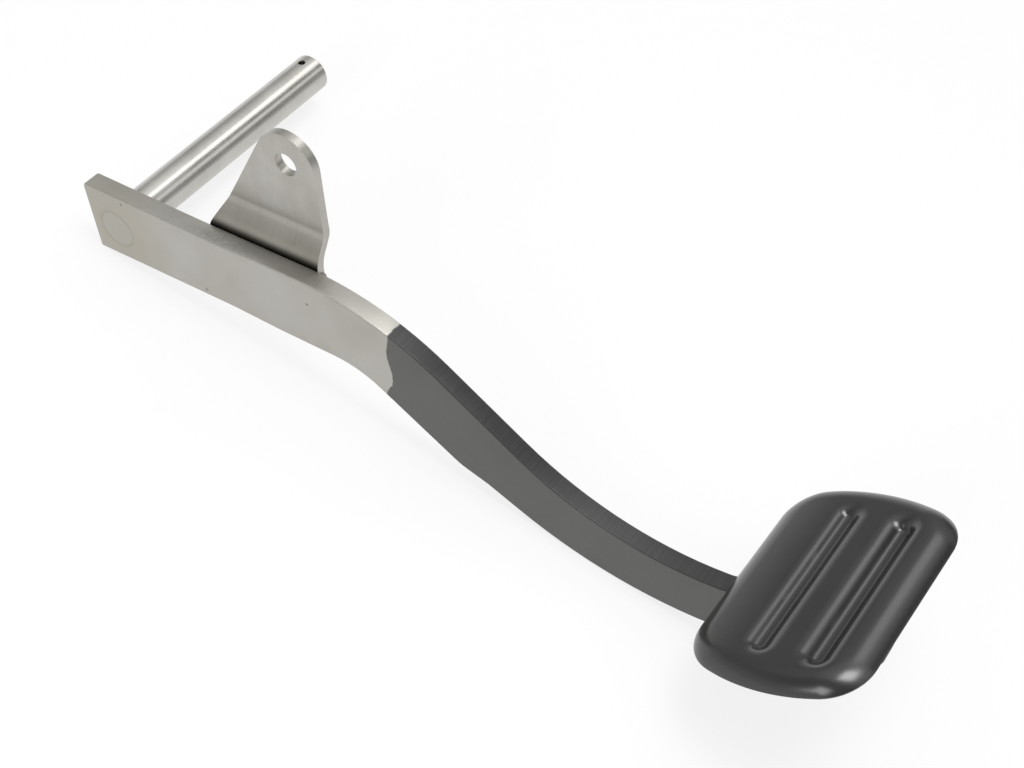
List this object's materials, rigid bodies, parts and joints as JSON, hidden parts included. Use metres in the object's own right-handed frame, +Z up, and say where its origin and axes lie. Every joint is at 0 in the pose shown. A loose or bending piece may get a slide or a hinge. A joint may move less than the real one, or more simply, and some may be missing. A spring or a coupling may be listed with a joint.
{
  "type": "clutch pedal",
  "caption": "Welded steel pedal: flat curved arm, turned pivot shaft with a split-pin hole, joggled pushrod lug and a pressed grooved foot pad.",
  "frame": {"origin": "on the pivot shaft's axis, at the arm's inner face where the shaft's shoulder seats", "axes": "+Y along the pivot shaft to its free end, +X towards the foot pad, +Z up with the pedal lying on the lower edge of its arm"},
  "size_m": [0.3519, 0.1634, 0.1032],
  "materials": {
    "arm_steel": "bare satin steel at the shaft end, dark grey satin paint from the bend to the pad",
    "turned_steel": "bright turned",
    "bare_steel": "bare satin",
    "pad_paint": "satin black paint"
  },
  "bodies": {
    "root": {"pedal_arm": "arm_steel", "pivot_shaft": "turned_steel", "shaft_weld": "bare_steel", "pushrod_lug": "bare_steel", "lug_weld": "bare_steel", "pedal_pad": "pad_paint", "pad_weld": "pad_paint"}
  },
  "joints": []
}
